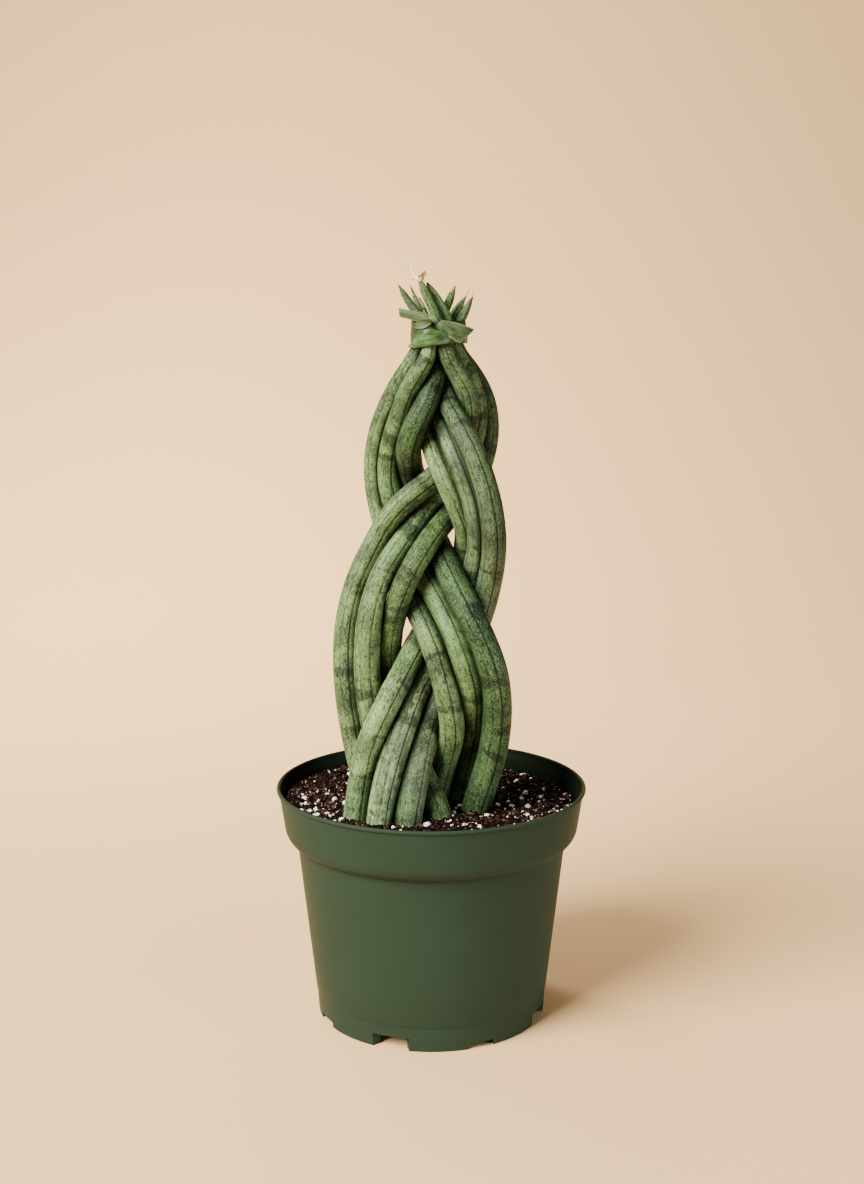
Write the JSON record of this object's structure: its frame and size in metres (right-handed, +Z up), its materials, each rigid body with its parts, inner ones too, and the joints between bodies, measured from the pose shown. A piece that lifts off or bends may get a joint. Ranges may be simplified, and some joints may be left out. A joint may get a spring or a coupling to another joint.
{
  "type": "cylindrical snake plant",
  "caption": "Braided cylindrical snake plant with round tapering leaves tied at the neck, in a round nursery pot filled with soil.",
  "frame": {"origin": "on the pot's axis, on the surface that the pot stands on", "axes": "+Z up; -Y towards the front, the side with the knot; +X to the right seen from the front"},
  "size_m": [0.152, 0.152, 0.3587],
  "materials": {
    "pot_plastic": "satin dark green moulded plastic",
    "potting_soil": "dark brown peat with white perlite, rough",
    "leaf": "smooth satin leaf skin, sage green with darker bands and lengthwise grooves",
    "leaf_strip": "flat green strip of leaf"
  },
  "bodies": {
    "root": {"pot": "pot_plastic", "soil": "potting_soil", "leaf_left_outer": "leaf", "leaf_left_middle": "leaf", "leaf_left_inner": "leaf", "leaf_right_inner": "leaf", "leaf_right_middle": "leaf", "leaf_right_outer": "leaf", "leaf_back_inner": "leaf", "leaf_back_middle": "leaf", "leaf_back_outer": "leaf", "tie": "leaf_strip"}
  },
  "joints": []
}
